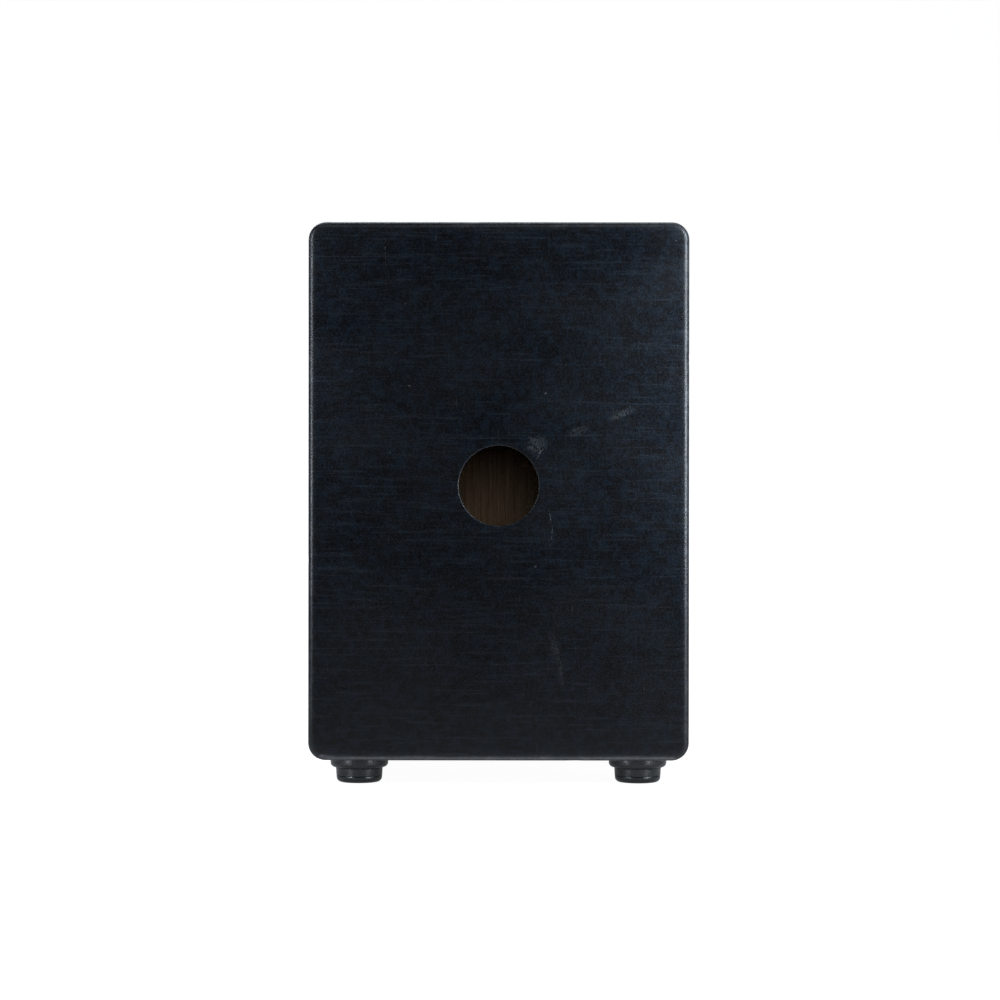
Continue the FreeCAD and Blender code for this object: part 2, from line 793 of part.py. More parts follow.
def write_parts():
    os.makedirs("parts", exist_ok=True)
    for item in sub_parts:
        item.Shape.exportStep("parts/" + item.Label + ".step")


make_cajon()
check_document()
write_parts()
print("sub-parts written:", len(sub_parts))
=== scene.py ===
import json
import math

import bmesh
import bpy
from mathutils import Matrix, Vector, noise


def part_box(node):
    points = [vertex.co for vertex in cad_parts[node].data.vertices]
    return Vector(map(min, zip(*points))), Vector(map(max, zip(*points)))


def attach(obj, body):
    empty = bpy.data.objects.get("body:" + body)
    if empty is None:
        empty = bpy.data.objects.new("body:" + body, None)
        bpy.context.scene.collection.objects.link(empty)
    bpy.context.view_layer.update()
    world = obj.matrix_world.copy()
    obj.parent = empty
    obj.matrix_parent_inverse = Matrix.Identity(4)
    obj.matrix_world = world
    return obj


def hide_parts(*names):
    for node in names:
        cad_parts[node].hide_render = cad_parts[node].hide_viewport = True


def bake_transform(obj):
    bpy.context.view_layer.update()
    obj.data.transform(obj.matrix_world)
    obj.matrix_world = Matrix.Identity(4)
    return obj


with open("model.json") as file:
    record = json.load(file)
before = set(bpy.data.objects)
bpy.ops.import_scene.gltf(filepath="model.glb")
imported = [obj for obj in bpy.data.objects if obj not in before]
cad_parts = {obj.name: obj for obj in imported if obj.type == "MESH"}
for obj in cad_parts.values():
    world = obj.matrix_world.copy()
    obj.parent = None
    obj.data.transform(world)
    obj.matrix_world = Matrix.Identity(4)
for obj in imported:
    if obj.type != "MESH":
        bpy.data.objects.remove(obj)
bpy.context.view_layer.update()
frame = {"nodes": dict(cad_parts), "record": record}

MM = 0.001
SIDES = {"left": -1, "right": 1}

REAR_LOW, REAR_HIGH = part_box("rear_panel")
FRONT_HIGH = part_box("front_plate")[1]
TOP_LOW, TOP_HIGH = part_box("top_panel")

HALF_X = REAR_HIGH.x
HALF_Z = (REAR_HIGH.z - REAR_LOW.z) / 2
CENTRE_Z = (REAR_HIGH.z + REAR_LOW.z) / 2
BOARD = TOP_HIGH.z - TOP_LOW.z
CORNER = 14 * MM
REAR_ROUND = 5 * MM
HOLE_ROUND = 1 * MM
CORNER_STEPS = 14
GRID = 5 * MM
HAIRLINE = 0.12 * MM
PANEL_WAVE = 0.06 * MM
BOARD_WAVE = 0.05 * MM
SLOW_WAVES = 22
FAST_WAVES = 140
WELD = 0.001 * MM
BROAD_FACE = 12 * MM * MM
KEY_RIM = 0.5 * MM

mounts = {mount["name"]: mount for mount in frame["record"]["mounts"]}
HOLE_RADIUS = mounts["sound_hole"]["dims"]["r_mm"] * MM
HOLE_Z = mounts["sound_hole"]["pos_m"][2]


# ---- materials -----------------------------------------------------------------------

def new_material(name):
    material = bpy.data.materials.new(name)
    material.use_nodes = True
    tree = material.node_tree
    tree.nodes.clear()
    return material, tree


def add(tree, kind, inputs=None, **settings):
    """A shader node with its settings, and its inputs set or linked."""
    made = tree.nodes.new("ShaderNode" + kind)
    for key, value in settings.items():
        setattr(made, key, value)
    for key, value in (inputs or {}).items():
        if isinstance(value, bpy.types.NodeSocket):
            tree.links.new(value, made.inputs[key])
        else:
            made.inputs[key].default_value = value
    return made


def place_in_frame(tree):
    return add(tree, "TexCoord").outputs["Object"]


def stretched(tree, place, scale):
    return add(tree, "VectorMath", {0: place, 1: scale}, operation="MULTIPLY").outputs[0]


def grain_noise(tree, place, scale, detail=4.0, roughness=0.55):
    """Noise with its own scale, per metre, along each axis."""
    vector = stretched(tree, place, scale)
    inputs = {"Vector": vector, "Scale": 1.0, "Detail": detail, "Roughness": roughness}
    return add(tree, "TexNoise", inputs).outputs[0]


def ramp(tree, value, low, high, low_to=0.0, high_to=1.0):
    inputs = {0: value, 1: low, 2: high, 3: low_to, 4: high_to}
    return add(tree, "MapRange", inputs, interpolation_type="SMOOTHSTEP").outputs[0]


def maths(tree, operation, first, second):
    return add(tree, "Math", {0: first, 1: second}, operation=operation).outputs[0]


def mix(tree, factor, first, second):
    inputs = {0: factor, 6: first, 7: second}
    return add(tree, "Mix", inputs, data_type="RGBA").outputs[2]


def colour(red, green, blue):
    return (red, green, blue, 1.0)


def bumps(tree, height, depth, strength=1.0):
    inputs = {"Height": height, "Distance": depth, "Strength": strength}
    return add(tree, "Bump", inputs).outputs[0]


def finish_material(tree, inputs):
    shader = add(tree, "BsdfPrincipled", inputs)
    output = add(tree, "OutputMaterial")
    tree.links.new(shader.outputs[0], output.inputs[0])


# Scuffs and scratches on the rear panel, in millimetres from the middle of its floor line:
# across, up, half width, half length, lean in degrees, and how pale the mark is.
REAR_MARKS = [
    (-30, 270, 12.0, 9.0, 20, 0.42),
    (-62, 281, 13.0, 4.5, 20, 0.26),
    (-98, 295, 15.0, 4.0, 25, 0.36),
    (-33, 265, 1.2, 10.0, -25, 0.8),
    (-26, 274, 1.0, 6.0, 35, 0.8),
    (-40.6, 214, 0.45, 8.5, 8, 1.0),
    (-42.2, 200, 0.45, 8.0, -3, 1.0),
    (-41.0, 191, 0.4, 4.0, -22, 0.8),
    (-29, 174, 1.6, 1.4, 0, 0.8),
    (-37, 311, 1.5, 1.2, 30, 0.7),
    (-104, 300, 1.6, 1.0, 10, 0.7),
    (71, 317, 2.0, 1.0, -20, 0.6),
    (-45, 109, 5.5, 17.0, 12, 0.2),
    (-49, 92, 3.0, 15.0, 4, 0.22),
    (-51, 81, 0.9, 0.8, 0, 1.0),
    (90, 423, 0.35, 13.0, 1, 0.9),
    (50, 434, 0.35, 3.5, -3, 0.9),
    (123, 381, 0.8, 0.7, 0, 0.9),
    (74, 382, 0.7, 0.7, 0, 0.8),
    (86, 264, 0.8, 0.6, 0, 0.8),
    (-140, 432, 1.0, 0.8, 20, 1.0),
    (137.5, 24.2, 3.4, 0.6, 8, 1.0),
]


def scuff_mask(tree, place, marks):
    """How scuffed the surface is: soft-edged spots and lines, broken up by fine noise."""
    total = None
    for across, up, half_width, half_length, lean, strength in marks:
        spot = add(tree, "Mapping", {
            "Vector": place,
            "Location": (across * MM, 0, up * MM),
            "Rotation": (0, math.radians(lean), 0),
            "Scale": (half_width * MM, 1.0, half_length * MM),
        }, vector_type="TEXTURE").outputs[0]
        flat = stretched(tree, spot, (1, 0, 1))
        reach = add(tree, "VectorMath", {0: flat}, operation="LENGTH").outputs["Value"]
        mask = ramp(tree, reach, 0.25, 1.0, strength, 0.0)
        total = mask if total is None else maths(tree, "MAXIMUM", total, mask)
    speckle = grain_noise(tree, place, (760, 760, 420), 4.0, 0.7)
    return maths(tree, "MULTIPLY", total, ramp(tree, speckle, 0.42, 0.60))


def edge_wear_and_highlight(tree, place):
    """Pale edges, partly from handling and partly a painted highlight: the edge attribute times
    patchy noise that never drops below 0.28.
    """
    edge = add(tree, "Attribute", attribute_name="edge").outputs["Fac"]
    patch = grain_noise(tree, place, (90, 90, 90), 6.0, 0.7)
    return maths(tree, "MULTIPLY", edge, ramp(tree, patch, 0.46, 0.70, 0.28, 1.0))


def make_black_paint(name, marks=()):
    """Thin blue-black paint over open-grained wood: mottled and streaked, with a soft sheen."""
    material, tree = new_material(name)
    place = place_in_frame(tree)
    peel = grain_noise(tree, place, (520, 520, 520), 4.0, 0.6)
    mottle = grain_noise(tree, place, (170, 170, 170), 5.0, 0.75)
    upright = grain_noise(tree, place, (420, 420, 55), 4.0, 0.65)
    level = grain_noise(tree, place, (22, 22, 500), 4.0, 0.65)
    clouds = grain_noise(tree, place, (9, 9, 14), 4.0, 0.6)
    deep = colour(0.0002, 0.0006, 0.0018)
    pale = colour(0.0026, 0.0058, 0.0112)
    raised = colour(0.0095, 0.0145, 0.0220)
    scratched = colour(0.020, 0.025, 0.031)
    fleck = colour(0.0085, 0.0125, 0.0175)
    rubbed_highlight_grey = colour(0.100, 0.100, 0.104)
    scuffed = colour(0.100, 0.108, 0.117)
    streaks = maths(tree, "MAXIMUM", ramp(tree, upright, 0.56, 0.78, 0.0, 0.5),
                    ramp(tree, level, 0.52, 0.74))
    base = mix(tree, ramp(tree, mottle, 0.42, 0.62), deep, pale)
    base = mix(tree, maths(tree, "MULTIPLY", streaks, 0.75), base, raised)
    scratches = grain_noise(tree, place, (700, 700, 45), 3.0, 0.5)
    base = mix(tree, ramp(tree, scratches, 0.66, 0.74, 0.0, 0.6), base, scratched)
    base = mix(tree, ramp(tree, peel, 0.55, 0.75, 0.0, 0.5), base, fleck)
    sheen = maths(tree, "ADD", ramp(tree, peel, 0.3, 0.7, 0.30, 0.42),
                  ramp(tree, clouds, 0.3, 0.7, 0.0, 0.10))
    worn_and_highlit = edge_wear_and_highlight(tree, place)
    # painted highlight: the pale grey on the edges is partly abrasion, partly a painted highlight
    # line
    base = mix(tree, maths(tree, "MULTIPLY", worn_and_highlit, 0.38), base, rubbed_highlight_grey)
    dull = maths(tree, "ADD", sheen, maths(tree, "MULTIPLY", worn_and_highlit, -0.10))
    if marks:
        scuffs = scuff_mask(tree, place, marks)
        base = mix(tree, maths(tree, "MULTIPLY", scuffs, 0.85), base, scuffed)
        dull = maths(tree, "ADD", dull, maths(tree, "MULTIPLY", scuffs, 0.2))
    relief = maths(tree, "ADD", maths(tree, "ADD", peel, mottle),
                   maths(tree, "MULTIPLY", streaks, 0.5))
    finish_material(tree, {
        "Base Color": base,
        "Roughness": dull,
        "Specular IOR Level": 0.35,
        "Normal": bumps(tree, relief, 0.00017, 0.9),
    })
    return material


def make_wood(name, pale, dark, along, sheen, figure=0.5):
    """Sliced wood with its grain along one axis: broad figure, fine fibres and pores."""
    material, tree = new_material(name)
    place = place_in_frame(tree)
    long_way = [60.0, 60.0, 60.0]
    fibre_way = [900.0, 900.0, 900.0]
    pore_way = [1500.0, 1500.0, 1500.0]
    long_way["xyz".index(along)] = 4.0
    fibre_way["xyz".index(along)] = 16.0
    pore_way["xyz".index(along)] = 90.0
    bands = grain_noise(tree, place, long_way, 3.0, 0.5)
    rings = add(tree, "Math", {0: maths(tree, "MULTIPLY", bands, 42.0)}, operation="SINE")
    fibres = grain_noise(tree, place, fibre_way, 5.0, 0.65)
    pores = grain_noise(tree, place, pore_way, 2.0, 0.5)
    blotches = grain_noise(tree, place, (14, 14, 14), 3.0, 0.5)
    base = mix(tree, ramp(tree, rings.outputs[0], -1.0, 1.0, 0.0, figure), pale, dark)
    base = mix(tree, ramp(tree, fibres, 0.35, 0.70, 0.0, 0.55), base, dark)
    shade = tuple(part * 0.45 for part in dark[:3]) + (1.0,)
    base = mix(tree, ramp(tree, pores, 0.62, 0.72, 0.0, 0.6), base, shade)
    base = mix(tree, ramp(tree, blotches, 0.4, 0.8, 0.0, 0.25), base, dark)
    relief = maths(tree, "ADD", fibres, maths(tree, "MULTIPLY", pores, -0.8))
    finish_material(tree, {
        "Base Color": base,
        "Roughness": ramp(tree, fibres, 0.3, 0.7, sheen, sheen + 0.16),
        "Normal": bumps(tree, relief, 0.00012, 0.7),
    })
    return material


def make_rubber():
    """Moulded dark rubber with a fine matt texture and dust in its pits."""
    material, tree = new_material("foot_rubber_look")
    place = place_in_frame(tree)
    texture = grain_noise(tree, place, (1300, 1300, 1300), 4.0, 0.65)
    dust = grain_noise(tree, place, (80, 80, 150), 5.0, 0.65)
    base = mix(tree, ramp(tree, texture, 0.35, 0.7), colour(0.006, 0.008, 0.010),
               colour(0.015, 0.018, 0.022))
    base = mix(tree, ramp(tree, dust, 0.52, 0.8, 0.0, 0.2), base, colour(0.075, 0.074, 0.072))
    finish_material(tree, {
        "Base Color": base,
        "Roughness": ramp(tree, texture, 0.3, 0.7, 0.20, 0.34),
        "Normal": bumps(tree, texture, 0.00008, 0.6),
    })
    return material


def make_metal(name, pale, dark, sheen, brush=(900, 900, 60), metallic=1.0):
    """Worked metal: faint brushing, cloudy plating and duller patches."""
    material, tree = new_material(name)
    place = place_in_frame(tree)
    strokes = grain_noise(tree, place, brush, 4.0, 0.6)
    clouds = grain_noise(tree, place, (140, 140, 140), 4.0, 0.6)
    base = mix(tree, ramp(tree, clouds, 0.35, 0.7), pale, dark)
    base = mix(tree, ramp(tree, strokes, 0.5, 0.8, 0.0, 0.35), base, dark)
    rough = maths(tree, "ADD", ramp(tree, strokes, 0.3, 0.7, sheen, sheen + 0.14),
                  ramp(tree, clouds, 0.5, 0.8, 0.0, 0.12))
    finish_material(tree, {
        "Base Color": base,
        "Metallic": metallic,
        "Roughness": rough,
        "Normal": bumps(tree, strokes, 0.00003, 0.6),
    })
    return material


REAR_PAINT = make_black_paint("rear_paint_look", REAR_MARKS)
BLACK_PAINT = make_black_paint("black_paint_look")
PLATE_WOOD = make_wood("front_plate_look", colour(0.56, 0.36, 0.19), colour(0.36, 0.20, 0.09),
                       "z", 0.30, 0.55)
INNER_WOOD = make_wood("inner_wood_look", colour(0.42, 0.27, 0.16), colour(0.27, 0.16, 0.09),
                       "z", 0.60, 0.35)
LEVEL_WOOD = make_wood("level_wood_look", colour(0.42, 0.27, 0.16), colour(0.27, 0.16, 0.09),
                       "x", 0.60, 0.35)
BLOCK_WOOD = make_wood("block_wood_look", colour(0.58, 0.41, 0.24), colour(0.40, 0.25, 0.13),
                       "y", 0.62, 0.45)
RAIL_WOOD = make_wood("rail_wood_look", colour(0.55, 0.38, 0.22), colour(0.38, 0.23, 0.12),
                      "x", 0.60, 0.45)
RUBBER = make_rubber()
ZINC = make_metal("zinc_look", colour(0.62, 0.63, 0.66), colour(0.42, 0.43, 0.47), 0.30)
BRIGHT = make_metal("bright_steel_look", colour(0.66, 0.66, 0.68), colour(0.46, 0.46, 0.48), 0.22)
BLACK_STEEL = make_metal("black_steel_look", colour(0.030, 0.030, 0.033),
                         colour(0.012, 0.012, 0.014), 0.34, metallic=0.6)
MACHINED = make_metal("machined_look", colour(0.56, 0.56, 0.58), colour(0.40, 0.40, 0.42), 0.26,
                      brush=(60, 900, 900))
BRONZE = make_metal("bronze_look", colour(0.72, 0.47, 0.24), colour(0.46, 0.27, 0.12), 0.28,
                    brush=(900, 900, 900))


# ---- meshes --------------------------------------------------------------------------

def new_object(name, points, faces, materials, slots=None, sharp=40):
    """A smooth-shaded mesh whose edges are sharp where its faces turn by more than sharp."""
    mesh = bpy.data.meshes.new(name)
    mesh.from_pydata([tuple(point) for point in points], [], faces)
    for material in materials:
        mesh.materials.append(material)
    if slots:
        mesh.polygons.foreach_set("material_index", slots)
    mesh.polygons.foreach_set("use_smooth", [True] * len(faces))
    mesh.set_sharp_from_angle(angle=math.radians(sharp))
    mesh.update()
    item = bpy.data.objects.new(name, mesh)
    bpy.context.scene.collection.objects.link(item)
    return item


def mark_edges(item, values):
    """Store how much each point lies on a handled edge, for the paint's pale edges: partly
    abrasion, partly painted highlight.
    """
    layer = item.data.attributes.new("edge", "FLOAT", "POINT")
    layer.data.foreach_set("value", values)


def skin(ring_count, size, closed=False):
    """Quads between rings of the same size, and from the last ring to the first if closed."""
    faces = []
    last = ring_count if closed else ring_count - 1
    for ring in range(last):
        here = ring * size
        there = ((ring + 1) % ring_count) * size
        for step in range(size):
            following = (step + 1) % size
            faces.append((here + step, here + following, there + following, there + step))
    return faces


def steps_between(start, end, count):
    """Values from start up to but not including end."""
    return [start + (end - start) * step / count for step in range(count)]


def rounded_rectangle(half_x, half_z, radius, inset=0.0):
    """Points round a rectangle with rounded corners, always the same number of them."""
    along = {"x": round(2 * (HALF_X - CORNER) / GRID), "z": round(2 * (HALF_Z - CORNER) / GRID)}
    inner_x = half_x - radius
    inner_z = half_z - radius
    reach = radius - inset
    points = []
    corners = ((1, -1, -90, "z"), (1, 1, 0, "x"), (-1, 1, 90, "z"), (-1, -1, 180, "x"))
    for index, (side, level, first, run) in enumerate(corners):
        for angle in steps_between(first, first + 90, CORNER_STEPS):
            turn = math.radians(angle)
            points.append(Vector((side * inner_x + reach * math.cos(turn),
                                  level * inner_z + reach * math.sin(turn))))
        turn = math.radians(first + 90)
        start = Vector((side * inner_x + reach * math.cos(turn),
                        level * inner_z + reach * math.sin(turn)))
        next_side, next_level = corners[(index + 1) % 4][:2]
        end = Vector((next_side * inner_x + reach * math.cos(turn),
                      next_level * inner_z + reach * math.sin(turn)))
        for share in steps_between(0.0, 1.0, along[run]):
            points.append(start.lerp(end, share))
    return points


def round_hole(outline_points, centre, radius):
    """A circle with one point in the direction of each point of an outline round it."""
    return [centre + (point - centre).normalized() * radius for point in outline_points]


# Small dents in the rear panel's edge: across, up, reach and depth in millimetres.
REAR_DENTS = [
    (-151, 339, 3.2, 0.9),
    (139, 22, 5.0, 1.1),
    (-149, 444, 3.0, 0.5),
    (20, 447, 4.0, 0.35),
    (151, 177, 3.0, 0.4),
    (-60, 20, 4.0, 0.4),
]


def dented(point, inward):
    """A point moved in where a dent has pressed the edge."""
    for across, up, reach, depth in REAR_DENTS:
        away = math.hypot(point.x - across * MM, point.z - up * MM) / (reach * MM)
        if away < 1:
            point = point + inward * (depth * MM * (1 - away * away) ** 2)
    return point


def hand_finish(x, z, depth):
    """How far below its true plane a painted face lies, as on a board sanded by hand."""
    slow = noise.noise(Vector((x * SLOW_WAVES, z * SLOW_WAVES, 3.1)))
    fast = noise.noise(Vector((x * FAST_WAVES, z * FAST_WAVES, 8.7)))
    return depth * (0.5 + 0.35 * slow + 0.15 * fast)


def make_rear_panel():
    """The rear panel as rings that run from the sound hole out to the rounded edge, down
    the side and back along the inner face into the hole."""
    inner_y = REAR_LOW.y
    outer_y = REAR_HIGH.y
    middle = Vector((0, CENTRE_Z))
    hole_centre = Vector((0, HOLE_Z))
    edge_points = [point + middle for point in rounded_rectangle(HALF_X, HALF_Z, CORNER)]
    rings = []
    wear_and_highlight = []

    def ring(flat_points, y, edge, waved=False):
        for point in flat_points:
            dip = hand_finish(point.x, point.y, PANEL_WAVE) if waved else 0.0
            spot = Vector((point.x, y - dip, point.y))
            inward = Vector((-point.x, 0, CENTRE_Z - point.y)).normalized() * 0.7
            spot = dented(spot, inward + Vector((0, -0.7, 0))) if edge else spot
            rings.append(spot)
            wear_and_highlight.append(edge)

    def hole(radius):
        return round_hole(edge_points, hole_centre, radius)

    def outline(inset):
        return [point + middle
                for point in rounded_rectangle(HALF_X, HALF_Z, CORNER, inset)]

    count = 0
    for share in steps_between(0.0, 1.0, 3):
        ring(hole(HOLE_RADIUS), inner_y + (outer_y - HOLE_ROUND - inner_y) * share, 0.0)
        count += 1
    # these edge values feed the paint's pale edges: partly abrasion, partly painted highlight on
    # the hole's rim and the outer roundover
    for angle in steps_between(0, 90, 6):
        turn = math.radians(angle)
        ring(hole(HOLE_RADIUS + HOLE_ROUND * (1 - math.cos(turn))),
             outer_y - HOLE_ROUND * (1 - math.sin(turn)), 0.7 * math.sin(2 * turn), True)
        count += 1
    near = hole(HOLE_RADIUS + HOLE_ROUND)
    far = outline(REAR_ROUND)
    for share in steps_between(0.0, 1.0, 42):
        ring([a.lerp(b, share) for a, b in zip(near, far)], outer_y, 0.0, True)
        count += 1
    for angle in steps_between(0, 90, 8):
        turn = math.radians(angle)
        ring(outline(REAR_ROUND * (1 - math.sin(turn))),
             outer_y - REAR_ROUND * (1 - math.cos(turn)), 0.15 + 0.85 * math.sin(2 * turn), True)
        count += 1
    for share in steps_between(0.0, 1.0, 2):
        ring(outline(0.0), outer_y - REAR_ROUND - (REAR_ROUND * 0.6) * share, 0.2)
        count += 1
    ring(outline(0.0), inner_y + 0.15 * MM, 0.1)
    ring(outline(0.15 * MM), inner_y, 0.0)
    count += 2
    inner_from = outline(2 * MM)
    inner_to = hole(HOLE_RADIUS + 0.4 * MM)
    inner_start = count
    for share in steps_between(0.0, 1.0, 20):
        ring([a.lerp(b, share) for a, b in zip(inner_from, inner_to)], inner_y, 0.0)
        count += 1
    ring(inner_to, inner_y, 0.0)
    count += 1
    size = len(edge_points)
    faces = skin(count, size, closed=True)
    slots = [1 if face // size >= inner_start - 1 and face // size < count - 1 else 0
             for face in range(len(faces))]
    panel = new_object("rear_panel_board", rings, faces, [REAR_PAINT, INNER_WOOD], slots)
    mark_edges(panel, wear_and_highlight)
    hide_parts("rear_panel")
    return panel


def corner_arc(side, level, first, last):
    """Points round one outer corner of the frame between two angles."""
    centre = Vector((side * (HALF_X - CORNER), CENTRE_Z + level * (HALF_Z - CORNER)))
    return [centre + CORNER * Vector((math.cos(math.radians(angle)), math.sin(math.radians(angle))))
            for angle in steps_between(first, last, CORNER_STEPS // 2)]


def straight_run(start, end):
    count = max(1, round((end - start).length / GRID))
    return [start.lerp(end, share) for share in steps_between(0.0, 1.0, count)]


def board_loop(side=None, level=None):
    """The outline of one frame board, anticlockwise, with which points are outside."""
    inner_x = HALF_X - BOARD
    inner_z = HALF_Z - BOARD
    if side:
        first = corner_arc(1, -1, -45, 0)
        middle = straight_run(Vector((HALF_X, CENTRE_Z - HALF_Z + CORNER)),
                              Vector((HALF_X, CENTRE_Z + HALF_Z - CORNER)))
        last = corner_arc(1, 1, 0, 45)
        ends = [Vector((inner_x, CENTRE_Z + inner_z)), Vector((inner_x, CENTRE_Z - inner_z))]
        closing = math.radians(45)
        tip = Vector((HALF_X - CORNER + CORNER * math.cos(closing),
                      CENTRE_Z + HALF_Z - CORNER + CORNER * math.sin(closing)))
    else:
        first = corner_arc(1, 1, 45, 90)
        middle = straight_run(Vector((HALF_X - CORNER, CENTRE_Z + HALF_Z)),
                              Vector((CORNER - HALF_X, CENTRE_Z + HALF_Z)))
        last = corner_arc(-1, 1, 90, 135)
        ends = [Vector((-inner_x, CENTRE_Z + inner_z)), Vector((inner_x, CENTRE_Z + inner_z))]
        closing = math.radians(135)
        tip = Vector((CORNER - HALF_X + CORNER * math.cos(closing),
                      CENTRE_Z + HALF_Z - CORNER + CORNER * math.sin(closing)))
    outside = first + middle + last + [tip]
    inside = straight_run(ends[0], ends[1]) + [ends[1]]
    loop = [(point, True) for point in outside] + [(point, False) for point in inside]
    if side == -1:
        loop = [(Vector((-point.x, point.y)), outer) for point, outer in reversed(loop)]
    if level == -1:
        loop = [(Vector((point.x, 2 * CENTRE_Z - point.y)), outer)
                for point, outer in reversed(loop)]
    return loop


def make_frame_board(name, side=None, level=None):
    """A mitred frame board: its outline drawn out from front to back, with softened ends
    that leave hairline joints against the rear panel and the front plate."""
    loop = board_loop(side, level)
    front_y = FRONT_HIGH.y
    back_y = REAR_LOW.y
    depths = [front_y, front_y + 0.2 * MM]
    depths += steps_between(front_y + GRID, back_y - GRID, 52) + [back_y - GRID]
    depths += [back_y - 0.2 * MM, back_y]
    points = []
    wear_and_highlight = []
    for y in depths:
        at_end = y in (front_y, back_y)
        near_end = min(y - front_y, back_y - y) < GRID / 2
        for point, outer in loop:
            dip = hand_finish(point.x * 3 + y, point.y + y, BOARD_WAVE)
            shift = HAIRLINE if at_end else dip
            inward = Vector((0, 0))
            if outer and side:
                inward = Vector((-side, 0)) * shift
            elif outer:
                inward = Vector((0, -level)) * shift
            points.append(Vector((point.x + inward.x, y, point.y + inward.y)))
            curve = abs(point.x) > HALF_X - CORNER + 0.5 * MM
            curve = curve and abs(point.y - CENTRE_Z) > HALF_Z - CORNER + 0.5 * MM
            # these edge values feed the paint's pale edges: partly abrasion, partly painted
            # highlight
            wear_and_highlight.append((0.35 if curve else 0.0) + (0.5 if near_end else 0.0) if outer else 0.0)
    size = len(loop)
    faces = skin(len(depths), size)
    outer_flags = [outer for point, outer in loop]
    strip = [0 if outer_flags[step] and outer_flags[(step + 1) % size] else 1
             for step in range(size)]
    slots = strip * (len(depths) - 1)
    last = (len(depths) - 1) * size
    faces.append(tuple(reversed(range(size))))
    faces.append(tuple(range(last, last + size)))
    slots += [1, 1]
    faces = [tuple(reversed(face)) for face in faces]
    bare = INNER_WOOD if side else LEVEL_WOOD
    board = new_object(name + "_board", points, faces, [BLACK_PAINT, bare], slots)
    mark_edges(board, wear_and_highlight)
    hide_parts(name)
    return board


def cut_away(item, cutter):
    """Cut a closed mesh out of an item and leave no modifier behind."""
    change = item.modifiers.new("cut", "BOOLEAN")
    change.operation = "DIFFERENCE"
    change.solver = "EXACT"
    change.object = cutter
    settled = bpy.context.evaluated_depsgraph_get()
    mesh = bpy.data.meshes.new_from_object(item.evaluated_get(settled))
    item.modifiers.clear()
    item.data = mesh
    bpy.data.objects.remove(cutter)


def lathe(name, profile, materials, centre, around=48, sharp=40, closed=False):
    """A turned shape about a vertical axis. Each profile entry is a radius, or a function
    of the angle that gives one, and a height."""
    points = []
    for radius, height in profile:
        for step in range(around):
            angle = 2 * math.pi * step / around
            reach = radius(angle, height) if callable(radius) else radius
            point = Vector((reach * math.cos(angle), reach * math.sin(angle), height))
            points.append(point + centre)
    faces = skin(len(profile), around, closed)
    if not closed:
        last = (len(profile) - 1) * around
        faces.append(tuple(reversed(range(around))))
        faces.append(tuple(range(last, last + around)))
    return new_object(name, points, faces, materials, None, sharp)


def arc_profile(centre_radius, centre_height, radius, first, last, count):
    """Profile entries round an arc, in degrees from outwards, anticlockwise upwards."""
    entries = []
    for step in range(count + 1):
        angle = math.radians(first + (last - first) * step / count)
        entries.append((centre_radius + radius * math.cos(angle),
                        centre_height + radius * math.sin(angle)))
    return entries


def make_foot(node):
    """A moulded foot: recess for its screw, soft lower edge, tapered stem with a fine
    parting rib, ledge, and a flange with a rounded lower edge."""
    low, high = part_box(node)
    centre = Vector(((low.x + high.x) / 2, (low.y + high.y) / 2, low.z))
    height = high.z - low.z
    profile = [(2.3 * MM, height), (2.3 * MM, 9 * MM), (6.1 * MM, 9 * MM), (6.5 * MM, 8.6 * MM)]
    profile += [(6.5 * MM, 0.6 * MM), (6.7 * MM, 0.15 * MM), (7.2 * MM, 0.0)]
    profile += [(9.6 * MM, 0.0), (9.9 * MM, 0.5 * MM), (10.9 * MM, 0.5 * MM), (11.2 * MM, 0.0)]
    profile += arc_profile(14.3 * MM, 4.0 * MM, 4.0 * MM, -90, 0, 10)
    profile += [(18.4 * MM, 5.2 * MM), (18.25 * MM, 5.5 * MM), (18.5 * MM, 5.8 * MM)]
    profile += [(18.6 * MM, 8 * MM), (18.75 * MM, 11.3 * MM), (18.5 * MM, 11.6 * MM)]
    profile += [(18.6 * MM, 12.0 * MM), (19.2 * MM, 12.05 * MM)]
    profile += arc_profile(19.6 * MM, 15.6 * MM, 3.6 * MM, -90, 0, 10)
    profile += [(23.2 * MM, 18 * MM), (23.2 * MM, height - 0.5 * MM)]
    profile += arc_profile(22.8 * MM, height - 0.4 * MM, 0.4 * MM, 0, 90, 4)
    foot = lathe(node + "_moulding", profile, [RUBBER], centre, 96, 35, closed=True)
    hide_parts(node)
    return foot


def refined(node, material, width):
    """A CAD piece with its flat faces joined up and its sharp edges broken."""
    source = frame["nodes"][node].data
    shape = bmesh.new()
    shape.from_mesh(source)
    bmesh.ops.remove_doubles(shape, verts=shape.verts, dist=WELD)
    bmesh.ops.dissolve_limit(shape, angle_limit=math.radians(1), verts=shape.verts,
                             edges=shape.edges)
    sharp = [edge for edge in shape.edges
             if len(edge.link_faces) == 2 and edge.calc_face_angle() > math.radians(30)]
    bmesh.ops.bevel(shape, geom=sharp, offset=width, segments=2, affect="EDGES",
                    profile=0.5, clamp_overlap=True)
    mesh = bpy.data.meshes.new(node + "_finished")
    shape.to_mesh(mesh)
    shape.free()
    mesh.materials.append(material)
    mesh.polygons.foreach_set("use_smooth", [face.area < BROAD_FACE for face in mesh.polygons])
    mesh.polygons.foreach_set("material_index", [0] * len(mesh.polygons))
    mesh.set_sharp_from_angle(angle=math.radians(35))
    item = bpy.data.objects.new(node + "_finished", mesh)
    bpy.context.scene.collection.objects.link(item)
    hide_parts(node)
    return item


